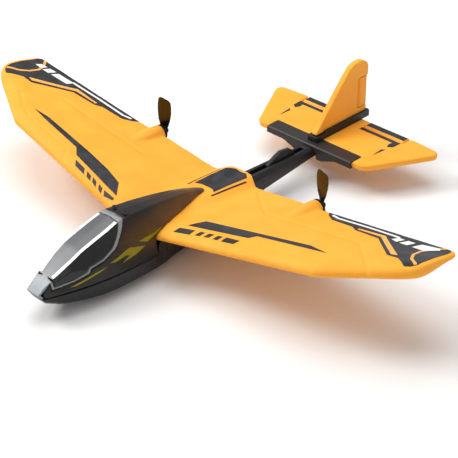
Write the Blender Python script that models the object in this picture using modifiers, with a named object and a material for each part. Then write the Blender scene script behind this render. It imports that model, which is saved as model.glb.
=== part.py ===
"""Foam twin-motor glider: a moulded foam wing and tail on a plastic pod and boom.

Frame: +Z up, nose towards -Y, port wing towards +X. The origin is on the ground,
under the middle of the belly skid. Lengths below are millimetres times MM.
"""
import math

import bmesh
import bpy
from mathutils import Matrix, Vector

MM = 0.001

# ---- driving sizes ----------------------------------------------------------------
# wing
HALF_SPAN = 184.0 * MM        # centreline to the tip edge
WING_Z = 25.0 * MM            # height of the wing's reference plane at the centreline
DIHEDRAL = 0.174              # rise of that plane for each metre outboard
ROOT_LE_Y = -67.0 * MM        # leading edge at the centreline
KINK_X = 131.0 * MM           # where the straight leading edge turns back to the tip
KINK_Y = -52.5 * MM
PANEL_TE_Y = 17.0 * MM        # trailing edge outboard of the nacelles
TIP_TE_Y = 13.0 * MM
WING_THICK = 8.6 * MM         # greatest thickness of the section
EDGE_THICK = 2.8 * MM         # thickness of the trailing edge
HUMP_HEIGHT = 4.6 * MM        # rise of the wing's centre over the boom
HUMP_HALF = 17.0 * MM

# pod
POD_FORE = 83.0 * MM          # nose length ahead of the wing's leading edge
SPINE_LENGTH = 57.0 * MM      # spine along the wing's top
BELLY_LENGTH = 82.0 * MM      # lower shell under the wing
POD_WALL = 1.4 * MM
CANOPY_WALL = 0.9 * MM
SKID_SETBACK = 20.0 * MM      # from the leading edge to the skid's front
SKID_LENGTH = 57.0 * MM
SKID_HALF = 7.5 * MM
SKID_THICK = 2.7 * MM
SCREW_HEAD_R = 1.8 * MM
SCREW_SHANK_R = 0.9 * MM
SPINE_HEAD_HIGH = 0.8 * MM
SPINE_SCREW_X = 4.9 * MM
SPINE_SCREW_AHEAD = 13.0 * MM   # in front of the wing's leading edge

# propulsion
HUB_X = 70.0 * MM
HUB_Y = 25.5 * MM             # plane of the propeller discs
HUB_Z = 32.2 * MM
PROP_RADIUS = 24.5 * MM
MOTOR_R = 3.5 * MM
MOTOR_LENGTH = 16.0 * MM
SLEEVE_WALL = 0.8 * MM
NACELLE_R = 6.4 * MM

# tail
BOOM_FRONT_Y = -12.0 * MM
BOOM_FRONT_HALF = 8.0 * MM
BOOM_REAR_HALF = 5.6 * MM
BOOM_SLOT = 3.6 * MM
BRACKET_Y = 91.5 * MM         # front face of the tail bracket
BRACKET_DEPTH = 11.6 * MM
BRACKET_HALF = 37.5 * MM
BRACKET_WALL = 1.1 * MM
REBATE_UNDER = 0.7 * MM       # depth of the step for the bracket under the tailplane
TAIL_Z = 18.2 * MM            # underside of the tailplane
TAIL_THICK = 4.5 * MM
TAIL_LENGTH = 52.0 * MM       # tailplane, leading edge to trailing edge
TAIL_HALF = 72.0 * MM
TAB_HINGE = 8.8 * MM          # from an elevator tab's hinge to the trailing edge
TAB_INNER = 11.5 * MM
TAB_OUTER = 45.0 * MM
FIN_THICK = 4.6 * MM
FIN_TOP = 67.4 * MM
RUDDER_HINGE = 8.8 * MM
RUDDER_LOW = 32.0 * MM
RUDDER_HIGH = 54.0 * MM

# fits
GAP = 0.3 * MM                # between pieces that rest against each other
CREASE = 0.5 * MM             # beside a trim tab

TAIL_LE_Y = BRACKET_Y + BRACKET_WALL + 2 * GAP
TAIL_TE_Y = TAIL_LE_Y + TAIL_LENGTH
TAIL_TOP = TAIL_Z + TAIL_THICK

# ---- scene --------------------------------------------------------------------------
for old in list(bpy.data.objects):
    bpy.data.objects.remove(old)
PARTS = bpy.data.collections.new("rc_glider")
CUTTERS = bpy.data.collections.new("cutters")
bpy.context.scene.collection.children.link(PARTS)
bpy.context.scene.collection.children.link(CUTTERS)


def material(name, colour, roughness, metallic=0.0):
    mat = bpy.data.materials.new(name)
    mat.use_nodes = True
    shader = mat.node_tree.nodes["Principled BSDF"]
    shader.inputs["Base Color"].default_value = (*colour, 1.0)
    shader.inputs["Roughness"].default_value = roughness
    shader.inputs["Metallic"].default_value = metallic
    return mat


FOAM = material("foam", (0.95, 0.47, 0.06), 0.7)
SMOKY = material("smoky_plastic", (0.05, 0.045, 0.04), 0.15)
BLACK = material("black_plastic", (0.02, 0.02, 0.022), 0.4)
SILVER = material("silver_plastic", (0.55, 0.57, 0.6), 0.25, 0.4)
FRAME_GREY = material("frame_grey", (0.42, 0.43, 0.45), 0.3)
AMBER = material("amber_plastic", (0.12, 0.07, 0.01), 0.25)
STEEL = material("steel", (0.6, 0.6, 0.62), 0.3, 1.0)
BOARD = material("board_green", (0.03, 0.2, 0.08), 0.5)
CELL = material("cell_wrap", (0.35, 0.38, 0.42), 0.35, 0.5)
RUBBER = material("skid_rubber", (0.015, 0.015, 0.015), 0.8)
WIRE = material("wire_red", (0.5, 0.03, 0.02), 0.5)
LAMP = material("lamp_red", (0.7, 0.05, 0.03), 0.2)


def add_object(name, mesh, mat=None):
    """A part, or a cutter when it has no material."""
    obj = bpy.data.objects.new(name, mesh)
    if mat is None:
        CUTTERS.objects.link(obj)
        obj.hide_render = True
        obj.display_type = "WIRE"
    else:
        mesh.materials.append(mat)
        PARTS.objects.link(obj)
    return obj


def smooth(obj, angle=35):
    obj.data.shade_smooth()
    obj.data.set_sharp_from_angle(angle=math.radians(angle))
    return obj


def from_bmesh(name, bm, mat=None):
    bmesh.ops.recalc_face_normals(bm, faces=bm.faces)
    if bm.calc_volume(signed=True) < 0:
        bmesh.ops.reverse_faces(bm, faces=bm.faces)
    mesh = bpy.data.meshes.new(name)
    bm.to_mesh(mesh)
    bm.free()
    return add_object(name, mesh, mat)


def loft(name, rings, mat=None, closed=True):
    """Skin a row of rings of points, capped at both ends when the rings are closed."""
    bm = bmesh.new()
    rows = [[bm.verts.new(point) for point in ring] for ring in rings]
    count = len(rows[0])
    spans = count if closed else count - 1
    for low, high in zip(rows, rows[1:]):
        for i in range(spans):
            j = (i + 1) % count
            bm.faces.new((low[i], low[j], high[j], high[i]))
    if closed:
        bm.faces.new(rows[0][::-1])
        bm.faces.new(rows[-1])
    return from_bmesh(name, bm, mat)


def plate(name, outline, low, high, axis, mat=None):
    """Extrude a flat outline from low to high along an axis, X, Y or Z."""
    def at(point, depth):
        if axis == "X":
            return (depth, point[0], point[1])
        if axis == "Y":
            return (point[0], depth, point[1])
        return (point[0], point[1], depth)
    rings = [[at(point, low) for point in outline], [at(point, high) for point in outline]]
    return loft(name, rings, mat)


def box(name, low, high, mat=None):
    bm = bmesh.new()
    bmesh.ops.create_cube(bm, size=1.0)
    size = [b - a for a, b in zip(low, high)]
    middle = [(a + b) / 2 for a, b in zip(low, high)]
    bmesh.ops.scale(bm, vec=size, verts=bm.verts)
    bmesh.ops.translate(bm, vec=middle, verts=bm.verts)
    return from_bmesh(name, bm, mat)


def rod(name, centre, radius, length, axis, mat=None, sides=16, top_radius=None):
    """A cylinder or cone that starts at centre and runs along an axis."""
    bm = bmesh.new()
    bmesh.ops.create_cone(bm, cap_ends=True, segments=sides, radius1=radius,
                          radius2=radius if top_radius is None else top_radius, depth=length)
    bmesh.ops.translate(bm, vec=(0, 0, length / 2), verts=bm.verts)
    turn = Vector((0, 0, 1)).rotation_difference(Vector(axis)).to_matrix()
    bmesh.ops.rotate(bm, matrix=turn, verts=bm.verts)
    bmesh.ops.translate(bm, vec=centre, verts=bm.verts)
    return from_bmesh(name, bm, mat)


def boolean(obj, other, operation="DIFFERENCE", solver="EXACT"):
    mod = obj.modifiers.new(operation.lower() + "_" + other.name, "BOOLEAN")
    mod.operation = operation
    mod.object = other
    mod.solver = solver
    return obj


def bevel(obj, width, segments=2, angle=30):
    mod = obj.modifiers.new("rounding", "BEVEL")
    mod.width = width
    mod.segments = segments
    mod.limit_method = "ANGLE"
    mod.angle_limit = math.radians(angle)
    return obj


def solidify(obj, thickness):
    mod = obj.modifiers.new("wall", "SOLIDIFY")
    mod.thickness = thickness
    mod.offset = -1.0
    mod.use_even_offset = True
    return obj


def both_sides(half):
    """A section from port to starboard, given its port half from the middle outwards."""
    port = [(x, z) for x, z in reversed(half) if x > 0]
    middle = [(x, z) for x, z in half if x == 0]
    return port + middle + [(-x, z) for x, z in half if x > 0]


def between(keys, x):
    """Read a value at x from a list of (x, value) corners."""
    for (x0, v0), (x1, v1) in zip(keys, keys[1:]):
        if x <= x1:
            share = 0.0 if x1 == x0 else (x - x0) / (x1 - x0)
            return v0 + (v1 - v0) * max(share, 0.0)
    return keys[-1][1]


# ---- wing ---------------------------------------------------------------------------
TIP_X = HALF_SPAN - 12 * MM
TIP_ROUND = 3.5 * MM          # rounding of the thick tip edge, seen from the front
LEADING_EDGE = [(0.0, ROOT_LE_Y), (KINK_X, KINK_Y), (TIP_X, -30 * MM), (HALF_SPAN - 7.5 * MM, -27 * MM),
                (HALF_SPAN - TIP_ROUND, -23.5 * MM), (HALF_SPAN - 1 * MM, -19.5 * MM), (HALF_SPAN, -14 * MM)]
TRAILING_EDGE = [(0.0, 30 * MM), (4 * MM, 29.8 * MM), (9 * MM, 27.5 * MM), (HUMP_HALF, 22.8 * MM),
                 (21 * MM, 21.6 * MM), (HUB_X - 8 * MM, 19.5 * MM), (HUB_X + 12 * MM, PANEL_TE_Y),
                 (HALF_SPAN - 6 * MM, TIP_TE_Y), (HALF_SPAN - TIP_ROUND, TIP_TE_Y - 0.6 * MM),
                 (HALF_SPAN - 1 * MM, TIP_TE_Y - 2.5 * MM), (HALF_SPAN, TIP_TE_Y - 6.5 * MM)]
TIP_FULLNESS = [(0.0, 1.0), (HALF_SPAN - TIP_ROUND, 1.0), (HALF_SPAN - 1 * MM, 0.78), (HALF_SPAN, 0.5)]
# share of the chord, height of the top and of the underside as a share of the thickness
AIRFOIL = [(0.0, 0.0, 0.0), (0.014, 0.25, -0.21), (0.05, 0.43, -0.33), (0.12, 0.56, -0.39),
           (0.22, 0.59, -0.41), (0.5, 0.40, -0.38), (0.8, 0.08, -0.39)]
NOSE_DROP = 2.0 * MM          # the airfoil's nose lies below the reference plane
EDGE_DROP = 4.0 * MM          # and the middle of the trailing edge lies lower still


def hump(x, y):
    """Extra height of the wing's top over the boom."""
    across = between([(9 * MM, 1.0), (HUMP_HALF, 0.0)], abs(x))
    along = between([(-34 * MM, 0.0), (-10 * MM, 1.0)], y)
    return HUMP_HEIGHT * across * along


def wing_ring(x, grow=0.0):
    """The wing's section at x as a closed ring, grown all round for a clearance."""
    side = abs(x)
    front = between(LEADING_EDGE, side) - grow
    rear = between(TRAILING_EDGE, side) + grow
    fullness = between(TIP_FULLNESS, side)
    plane = WING_Z + DIHEDRAL * side
    top = []
    under = []
    for share, rise, fall in AIRFOIL:
        y = front + share * (rear - front)
        core = plane - NOSE_DROP
        lift = grow if share > 0 else 0.0
        top.append((x, y, core + rise * WING_THICK * fullness + hump(x, y) + lift))
        under.append((x, y, core + fall * WING_THICK * fullness - lift))
    edge = plane - EDGE_DROP
    top.append((x, rear, edge + EDGE_THICK / 2 * fullness + hump(x, rear) + grow))
    under.append((x, rear, edge - EDGE_THICK / 2 * fullness - grow))
    return top + under[:0:-1]


def wing_stations():
    half = [4, 9, 13, 17, 21, 40]
    half = [x * MM for x in half] + [HUB_X - 8 * MM, HUB_X, HUB_X + 12 * MM, 106 * MM]
    half += [KINK_X, (KINK_X + TIP_X) / 2, TIP_X, HALF_SPAN - 7.5 * MM, HALF_SPAN - TIP_ROUND,
             HALF_SPAN - 1 * MM, HALF_SPAN]
    return [-x for x in reversed(half)] + [0.0] + half


def nacelle(name, side, grow=0.0):
    """Teardrop of foam around a motor, pointing forward."""
    rear = HUB_Y - 3.6 * MM
    profile = [(rear - 32 * MM, 1.5), (rear - 25 * MM, 5.0), (rear - 14 * MM, NACELLE_R / MM),
               (rear - 3 * MM, NACELLE_R / MM - 0.3), (rear, 5.5)]
    rings = []
    for y, radius in profile:
        ring = []
        for k in range(16):
            turn = 2 * math.pi * k / 16
            ring.append((side * HUB_X + radius * MM * math.cos(turn), y,
                         HUB_Z + radius * MM * math.sin(turn)))
        rings.append(ring)
    return loft(name, rings)


def channel(name, grow):
    """Room for the boom's front end, grown for a clearance."""
    half = BOOM_FRONT_HALF + grow
    return box(name, (-half, BOOM_FRONT_Y - grow, 0.0), (half, 60 * MM, BOOM_FRONT_TOP + grow))


BOOM_FRONT_TOP = 23.2 * MM
BOOM_FRONT_LOW = 7.0 * MM
LEAD_Y = 2.5 * MM
LEAD_R = 0.6 * MM


def lead_groove(side):
    """Groove along the wing's underside for one pair of motor leads."""
    inner = 8.0 * MM
    outer = HUB_X - 2 * MM
    deep = 2.2 * MM
    rings = []
    for x in (inner, outer):
        floor = WING_Z + DIHEDRAL * x - NOSE_DROP - 0.38 * WING_THICK
        ring = [(side * x, LEAD_Y - 1.2 * MM, floor - 4 * MM), (side * x, LEAD_Y + 1.2 * MM, floor - 4 * MM),
                (side * x, LEAD_Y + 1.2 * MM, floor + deep), (side * x, LEAD_Y - 1.2 * MM, floor + deep)]
        rings.append(ring)
    return loft("groove_cut", rings)


def make_wing():
    wing = smooth(loft("wing", [wing_ring(x) for x in wing_stations()], FOAM))
    for side in (1, -1):
        boolean(wing, nacelle("nacelle_form", side), "UNION")
    for side in (1, -1):
        bore = rod("motor_bore", (side * HUB_X, HUB_Y - 22 * MM, HUB_Z),
                   MOTOR_R + SLEEVE_WALL + 2 * GAP, 30 * MM, (0, 1, 0))
        boolean(wing, bore)
        boolean(wing, lead_groove(side))
    boolean(wing, channel("boom_channel", GAP))
    return wing


# ---- pod ----------------------------------------------------------------------------
POD_ROOT_X = 19.5 * MM
WING_FRONT = between(LEADING_EDGE, POD_ROOT_X) - GAP

# A section's place is a share of the fore body (FORE) or of the spine on the wing (AFT).
# Then in millimetres: height of the top, half width of its flat, the shoulder's x and z,
# and the rim's x and z.
UPPER_AFT = [
    (1.00, 30.6, 1.5, 2.6, 29.4, 3.4, 25.0),
    (0.90, 32.9, 2.2, 4.2, 29.6, 5.8, 25.0),
    (0.73, 36.0, 3.2, 6.8, 31.0, 9.2, 25.0),
    (0.57, 38.2, 4.2, 8.8, 32.0, 11.6, 25.0),
    (0.43, 39.7, 5.0, 10.6, 32.3, 13.8, 25.0),
    (0.275, 41.2, 5.8, 13.4, 32.2, 17.4, 25.0),
    (0.13, 42.4, 6.4, 16.0, 31.4, 18.4, 25.0),
    (0.00, 43.4, 7.0, 16.8, 31.0, 20.0, 14.0),
]
UPPER_FORE = [
    (0.10, 44.2, 7.6, 16.0, 32.0, 20.6, 14.0),
    (0.247, 45.0, 8.4, 14.6, 34.5, 20.1, 14.0),
    (0.366, 42.4, 8.8, 15.0, 33.5, 19.5, 14.0),
    (0.50, 39.6, 8.9, 14.8, 30.0, 18.2, 14.0),
    (0.62, 36.8, 8.8, 13.4, 26.5, 16.4, 14.0),
    (0.74, 32.2, 8.2, 11.2, 23.5, 14.0, 14.0),
    (0.82, 28.8, 7.2, 9.4, 22.0, 12.0, 14.0),
    (0.90, 25.2, 6.2, 7.8, 20.8, 9.6, 14.0),
    (0.96, 22.0, 5.0, 6.0, 20.0, 7.4, 14.0),
]
# Rim x and z, chine x and z, keel x and z.
LOWER_AFT = [
    (1.000, 9.9, 26.0, 9.7, 8.0, 7.8, 5.2),
    (0.89, 12.0, 26.0, 11.6, 6.0, 8.5, 3.0),
    (0.55, 13.5, 26.0, 12.8, 6.0, 8.5, 3.0),
    (0.21, 16.5, 26.0, 15.0, 5.5, 8.5, 3.0),
    (0.10, 18.6, 26.0, 16.5, 5.0, 8.5, 1.6),
]
LOWER_FORE = [
    (0.000, 20.6, 24.0, 17.2, 4.8, 8.5, 0.0),
    (0.10, 20.4, 18.0, 17.2, 4.7, 8.5, 0.0),
    (0.247, 20.0, 18.0, 17.0, 4.7, 8.5, 0.0),
    (0.366, 19.4, 18.0, 16.6, 4.8, 8.4, 0.0),
    (0.50, 18.4, 18.0, 15.5, 5.2, 7.9, 0.5),
    (0.62, 16.6, 18.0, 14.0, 6.4, 7.2, 1.8),
    (0.74, 14.2, 18.0, 11.8, 8.2, 6.2, 4.2),
    (0.82, 12.0, 18.0, 10.0, 9.8, 5.6, 6.4),
    (0.90, 9.6, 18.0, 7.8, 12.0, 4.8, 9.6),
    (0.96, 7.4, 18.0, 6.0, 13.8, 4.0, 12.2),
]
SEAM_Z = 16.0 * MM            # flat parting line of the two shells ahead of the wing


def fore(share):
    """A place ahead of the wing: 0 at the leading edge, 1 at the nose."""
    return WING_FRONT - share * POD_FORE


def aft(share, length):
    return WING_FRONT + share * length


def upper_half(top, flat, shoulder_x, shoulder_z, rim_x, rim_z):
    """Half section: flat spine, a slightly full flank, and a straight skirt to the rim."""
    flank = ((flat + shoulder_x) / 2 + 0.3, (top + shoulder_z) / 2)
    return [(0.0, top), (flat, top - 0.5), flank, (shoulder_x, shoulder_z), (rim_x, rim_z)]


def lower_half(rim_x, rim_z, chine_x, chine_z, keel_x, keel_z):
    return [(0.0, keel_z), (keel_x, keel_z), (chine_x, chine_z), (rim_x, rim_z)]


def pod_skin(name, aft_rows, aft_length, fore_rows, half, wall, mat):
    rings = []
    for row in aft_rows:
        y = aft(row[0], aft_length)
        rings.append([(x * MM, y, z * MM) for x, z in both_sides(half(*row[1:]))])
    for row in fore_rows:
        rings.append([(x * MM, fore(row[0]), z * MM) for x, z in both_sides(half(*row[1:]))])
    return solidify(smooth(loft(name, rings, mat, closed=False), 25), wall)


def wing_block(name, above):
    """The wing with a clearance, and all the room above it, or below it, near the pod."""
    places = (0.0, 4.0, 9.0, 13.0, 17.0, 21.0, 40.0)
    stations = [-x * MM for x in reversed(places[1:])] + [x * MM for x in places]
    far = 80 * MM if above else -80 * MM
    rings = []
    for x in stations:
        ring = wing_ring(x, GAP)
        tops = len(AIRFOIL) + 1
        face = [ring[0]] + ring[:tops - 1:-1] if above else ring[:tops]
        rings.append([(x, face[0][1], far)] + face + [(x, face[-1][1], far)])
    return loft(name, rings)


# Side view of the canopy's lower and rear edge, as a share of the fore body and a height.
CANOPY_EDGE = [(0.875, 21.6), (0.735, 22.6), (0.625, 25.0), (0.605, 27.2), (0.49, 29.4),
               (0.395, 33.2), (0.335, 37.2), (0.292, 41.0), (0.262, 44.5), (0.250, 47.0)]
FRAME_EDGE = [(0.895, 20.3), (0.735, 21.4), (0.612, 23.7), (0.592, 26.0), (0.48, 28.2),
              (0.374, 32.0), (0.305, 36.6), (0.256, 40.6), (0.218, 44.5), (0.200, 47.0)]
NOSE_TOP = (0.895, 26.0)
NOSE_TIP = (1.0, 19.0)
NOSE_LOW = (0.955, 13.4)


def side_outline(edge, grow):
    """Close a side-view edge above and ahead of the pod, moved outwards by a clearance."""
    line = [(fore(share) + grow, z * MM - grow) for share, z in edge]
    front = line[0]
    rear = line[-1]
    return [(front[0] - 2 * grow, front[1]), *line[1:], (rear[0], 60 * MM), (front[0] - 2 * grow, 60 * MM)]


def edge_prism(name, edge, grow):
    return plate(name, side_outline(edge, grow), -40 * MM, 40 * MM, "X")


def nose_wedge(name, shift):
    """All the room ahead of the two slanting nose faces."""
    corners = [(fore(share) - shift, z * MM) for share, z in (NOSE_TOP, NOSE_TIP, NOSE_LOW)]
    ahead = fore(1.0) - 30 * MM
    top, tip, low = corners
    lean_y = (top[0] - tip[0]) / (top[1] - tip[1])
    raised = (top[0] + lean_y * 20 * MM, top[1] + 20 * MM)
    back = (tip[0] - low[0]) / (tip[1] - low[1])
    lowered = (low[0] - back * 20 * MM, low[1] - 20 * MM)
    return plate(name, [raised, tip, lowered, (ahead, lowered[1]), (ahead, raised[1])],
                 -40 * MM, 40 * MM, "X")


def spine_screws(name, radius, low, high):
    return [rod(name, (side * SPINE_SCREW_X, WING_FRONT - SPINE_SCREW_AHEAD, low), radius,
                high - low, (0, 0, 1)) for side in (1, -1)]


SPINE_TOP = 44.4 * MM         # height of the spine's flat at the screws
SWITCH_Y = WING_FRONT - 11 * MM
SOCKET_Y = WING_FRONT - 24 * MM
LAMP_Y = WING_FRONT - 34 * MM
SIDE_Z = 10.5 * MM            # height of the fittings in the starboard wall
SIDE_X = 15.9 * MM            # inner face of that wall at the fittings
SLIDER_LENGTH = 2.2 * MM
SLIDER_TRAVEL = 2.0 * MM
SLIDER_HIGH = 1.6 * MM


def fore_room(name, low, high):
    """All the room ahead of the wing between two heights."""
    return box(name, (-60 * MM, fore(1.5), low), (60 * MM, WING_FRONT - 0.03 * MM, high))


def make_upper_shell():
    shell = pod_skin("pod_upper_shell", UPPER_AFT, SPINE_LENGTH, UPPER_FORE, upper_half, POD_WALL, SMOKY)
    boolean(shell, wing_block("wing_and_below", above=False), solver="MANIFOLD")
    boolean(shell, edge_prism("frame_room", FRAME_EDGE, GAP))
    boolean(shell, nose_wedge("nose_cut", -NOSE_WALL - GAP), solver="MANIFOLD")
    boolean(shell, fore_room("below_seam", -9 * MM, SEAM_Z + GAP / 2), solver="MANIFOLD")
    for hole in spine_screws("spine_hole", SCREW_SHANK_R + GAP, SPINE_TOP - 8 * MM, SPINE_TOP + 8 * MM):
        boolean(shell, hole, solver="MANIFOLD")


def make_canopy_frame():
    frame = pod_skin("canopy_frame", UPPER_AFT, SPINE_LENGTH, UPPER_FORE, upper_half, POD_WALL, FRAME_GREY)
    boolean(frame, edge_prism("frame_blank", FRAME_EDGE, 0.0), "INTERSECT")
    boolean(frame, edge_prism("canopy_room", CANOPY_EDGE, GAP))
    boolean(frame, nose_wedge("frame_nose_cut", -NOSE_WALL - GAP), solver="MANIFOLD")


def make_canopy():
    canopy = pod_skin("canopy", UPPER_AFT, SPINE_LENGTH, UPPER_FORE, upper_half, CANOPY_WALL, SILVER)
    boolean(canopy, edge_prism("canopy_blank", CANOPY_EDGE, 0.0), "INTERSECT")
    boolean(canopy, nose_wedge("canopy_nose_cut", -NOSE_WALL - GAP))


def make_lower_shell():
    shell = pod_skin("pod_lower_shell", LOWER_AFT, BELLY_LENGTH, LOWER_FORE, lower_half, POD_WALL, BLACK)
    boolean(shell, wing_block("wing_and_above", above=True))
    boolean(shell, fore_room("above_seam", SEAM_Z - GAP / 2, 90 * MM))
    boolean(shell, nose_wedge("lower_nose_cut", -NOSE_WALL / 2))
    boolean(shell, box("lead_notches", (-19 * MM, LEAD_Y - 3.6 * MM, 17.6 * MM),
                       (19 * MM, LEAD_Y + 1.4 * MM, 44 * MM)), solver="MANIFOLD")
    for boss in spine_screws("screw_boss", 2.6 * MM, 0.7 * MM, SPINE_TOP - POD_WALL - 3.5 * MM):
        boolean(shell, boss, "UNION")
    for hole in spine_screws("boss_hole", SCREW_SHANK_R + GAP, SPINE_TOP - 16 * MM, SPINE_TOP):
        boolean(shell, hole)
    for y in skid_screw_places():
        boolean(shell, rod("skid_hole", (0, y, -1 * MM), SCREW_SHANK_R + GAP, 9 * MM, (0, 0, 1)))
    half = SLIDER_HIGH / 2 + GAP
    slot_rear = SWITCH_Y + SLIDER_LENGTH + SLIDER_TRAVEL + GAP
    boolean(shell, box("switch_slot", (-30 * MM, SWITCH_Y - GAP, SIDE_Z - half),
                       (-10 * MM, slot_rear, SIDE_Z + half)))
    boolean(shell, box("socket_window", (-30 * MM, SOCKET_Y - 2.6 * MM, SIDE_Z - 1.6 * MM),
                       (-10 * MM, SOCKET_Y + 2.6 * MM, SIDE_Z + 1.6 * MM)))
    boolean(shell, rod("lamp_hole", (-30 * MM, LAMP_Y, SIDE_Z), 1.2 * MM + GAP, 20 * MM, (1, 0, 0)))
    boolean(shell, nose_slab("chin", -9 * MM, SEAM_Z - GAP / 2), "UNION")


NOSE_WALL = 1.7 * MM


def nose_slab(name, low, high, mat=None):
    """The wall behind the slanting nose faces, between two heights."""
    rings = []
    for upper, lower in zip(UPPER_FORE[4:], LOWER_FORE[5:]):
        profile = upper_half(*upper[1:])[:4] + lower_half(*lower[1:])[2::-1]
        ring = [(x * MM, fore(upper[0]), z * MM) for x, z in profile]
        ring += [(-x, y, z) for x, y, z in reversed(ring) if x > 0]
        rings.append(ring)
    ahead = [(x * 0.55, fore(1.1), 0.55 * z + 0.45 * 18 * MM) for x, y, z in rings[-1]]
    slab = loft(name, rings + [ahead], mat)
    boolean(slab, nose_wedge("nose_face", 0.0))
    boolean(slab, nose_wedge("nose_back", -NOSE_WALL), "INTERSECT")
    boolean(slab, box("slab_range", (-40 * MM, fore(1.5), low), (40 * MM, fore(0.5), high)), "INTERSECT")
    return slab


def make_nose_cap():
    """A faceted silver cap that closes the nose ahead of the canopy."""
    nose_slab("nose_cap", SEAM_Z + GAP / 2, 40 * MM, SILVER)


def make_spine_screws():
    for label, side in (("left", 1), ("right", -1)):
        x = side * SPINE_SCREW_X
        y = WING_FRONT - SPINE_SCREW_AHEAD
        seat = SPINE_TOP + GAP
        screw = rod("spine_screw_" + label, (x, y, seat), SCREW_HEAD_R, SPINE_HEAD_HIGH,
                    (0, 0, 1), STEEL, top_radius=SCREW_HEAD_R * 0.8)
        shank = rod("spine_shank", (x, y, SPINE_TOP - 12 * MM), SCREW_SHANK_R, 12.5 * MM, (0, 0, 1))
        boolean(screw, shank, "UNION")
        cross_recess(screw, (x, y, seat + SPINE_HEAD_HIGH))


def cross_recess(screw, top):
    for wide, deep in ((1.1 * MM, 0.28 * MM), (0.28 * MM, 1.1 * MM)):
        x, y, z = top
        depth = 0.5 * MM
        boolean(screw, box("recess", (x - wide, y - deep, z - depth), (x + wide, y + deep, z + depth)))


# ---- belly skid and its screws --------------------------------------------------------
SKID_FRONT = WING_FRONT + SKID_SETBACK
SKID_REAR = SKID_FRONT + SKID_LENGTH


def skid_screw_places():
    return (SKID_FRONT + 9 * MM, SKID_REAR - 5 * MM)


def stadium(low, high, half, steps=6):
    """Outline in X and Y with round ends."""
    points = []
    for centre, start in ((high - half, 0.0), (low + half, math.pi)):
        for k in range(steps + 1):
            turn = start + math.pi * k / steps
            points.append((half * math.cos(turn), centre + half * math.sin(turn)))
    return points


def make_skid():
    skid = plate("belly_skid", stadium(SKID_FRONT, SKID_REAR, SKID_HALF), 0.0, SKID_THICK, "Z", RUBBER)
    bevel(smooth(skid), 0.6 * MM, 1, 60)
    for y in skid_screw_places():
        boolean(skid, rod("skid_sink", (0, y, -0.1 * MM), SCREW_HEAD_R + GAP, 1.5 * MM, (0, 0, 1)))
        boolean(skid, rod("skid_bore", (0, y, 0.0), SCREW_SHANK_R + GAP, 5 * MM, (0, 0, 1)))


def make_skid_screws():
    for label, y in zip(("front", "rear"), skid_screw_places()):
        screw = rod("belly_screw_" + label, (0, y, 0.3 * MM), SCREW_HEAD_R, 0.8 * MM, (0, 0, 1), STEEL)
        boolean(screw, rod("belly_shank", (0, y, 1.0 * MM), SCREW_SHANK_R, 6.0 * MM, (0, 0, 1)), "UNION")
        cross_recess(screw, (0, y, 0.3 * MM))


# ---- inside the pod --------------------------------------------------------------------
BATTERY_REAR = WING_FRONT - SPINE_SCREW_AHEAD - 4.0 * MM
BATTERY_FRONT = fore(0.53)    # ahead of this the nose is narrower than the battery
FLOOR = 1.8 * MM              # just above the lower shell's flat floor
BOARD_FRONT = WING_FRONT - 8 * MM


def make_inner_parts():
    tub_rings = []
    for share, outer in ((0.82, 9.4), (0.66, 13.4), (0.52, 16.0), (0.38, 17.2)):
        half = outer - POD_WALL / MM
        y = fore(share)
        tub_rings.append([(half * MM, y, 18.6 * MM), (half * MM, y, 20.6 * MM),
                          (-half * MM, y, 20.6 * MM), (-half * MM, y, 18.6 * MM)])
    tub = loft("cockpit_tub", tub_rings, BLACK)
    seat = []
    for share, half, high in ((0.78, 2.6, 21.6), (0.64, 5.0, 23.4), (0.50, 6.4, 24.6), (0.42, 7.0, 30.5),
                              (0.385, 7.0, 31.0)):
        y = fore(share)
        seat.append([(half * MM, y, 19.5 * MM), (half * 0.7 * MM, y, high * MM),
                     (-half * 0.7 * MM, y, high * MM), (-half * MM, y, 19.5 * MM)])
    boolean(tub, loft("seat_form", seat), "UNION")
    pack = box("battery", (-5.6 * MM, BATTERY_FRONT, FLOOR + 1.2 * MM),
               (5.6 * MM, BATTERY_REAR, FLOOR + 11.2 * MM), CELL)
    bevel(pack, 1.2 * MM, 2)
    box("battery_tape", (-4 * MM, BATTERY_REAR - 14 * MM, FLOOR - 0.1 * MM),
        (4 * MM, BATTERY_REAR - 4 * MM, FLOOR + 0.9 * MM), RUBBER)
    board = box("receiver_board", (-7.5 * MM, BOARD_FRONT - 2 * MM, FLOOR + 2.2 * MM),
                (7.5 * MM, BOARD_FRONT + 14 * MM, FLOOR + 3.2 * MM), BOARD)
    chip = box("chip_form", (-2.5 * MM, BOARD_FRONT + 5 * MM, FLOOR + 3.0 * MM),
               (2.5 * MM, BOARD_FRONT + 10 * MM, FLOOR + 4.1 * MM))
    boolean(board, chip, "UNION")
    return board


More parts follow.
